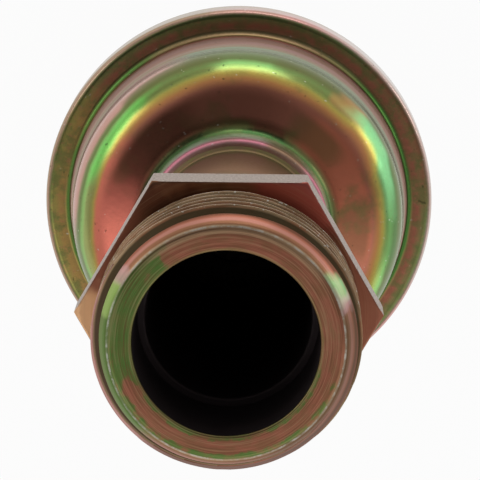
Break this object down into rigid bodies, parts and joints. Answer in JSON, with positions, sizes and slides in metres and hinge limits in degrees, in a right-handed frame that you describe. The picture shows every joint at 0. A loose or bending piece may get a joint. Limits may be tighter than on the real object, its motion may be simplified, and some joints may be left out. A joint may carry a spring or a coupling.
{
  "type": "air injection non-return valve",
  "caption": "Plated steel air injection non-return valve: hex threaded outlet on a tube, crimped round housing, beaded hose nipple and a sprung disc valve inside.",
  "frame": {"origin": "on the valve's axis at the hose nipple's lower end, the bottom centre of the part", "axes": "+Z along the axis from the hose nipple (inlet) to the pipe thread (outlet), +Y square to a flat of the hexagon"},
  "size_m": [0.047, 0.047, 0.1214],
  "materials": {
    "plated_fitting": "turned steel, yellow chromate zinc plate, worn",
    "plated_tube": "steel tube, yellow chromate zinc plate",
    "plated_shell": "pressed steel, yellow chromate zinc plate with rainbow tint",
    "braze_metal": "brazing filler, plated over, satin",
    "inner_steel": "bright steel, satin",
    "gasket_fibre": "compressed fibre, matt",
    "silicone_rubber": "moulded silicone rubber, satin",
    "bush_bronze": "turned bronze, satin",
    "spring_steel": "drawn spring steel wire and strip, satin"
  },
  "bodies": {
    "housing": {"threaded_fitting": "plated_fitting", "outlet_tube": "plated_tube", "outlet_shell": "plated_shell", "inlet_shell": "plated_shell", "hose_nipple": "plated_tube", "fitting_braze": "braze_metal", "outlet_braze": "braze_metal", "inlet_braze": "braze_metal", "seat_plate": "inner_steel", "lower_gasket": "gasket_fibre", "upper_gasket": "gasket_fibre", "stem_washer": "inner_steel", "guide_stem": "inner_steel", "return_spring": "spring_steel", "spring_retainer": "inner_steel", "retaining_clip": "spring_steel"},
    "valve": {"valve_disc": "silicone_rubber", "disc_backing": "inner_steel", "disc_bush": "bush_bronze"}
  },
  "joints": [
    {"name": "valve_lift", "type": "slide", "parent": "housing", "child": "valve", "axis": [0, 0, 1], "range_m": [0, 0.003], "stiffness_N_per_m": 60, "springref_m": -0.004, "deforming": ["return_spring"]}
  ]
}
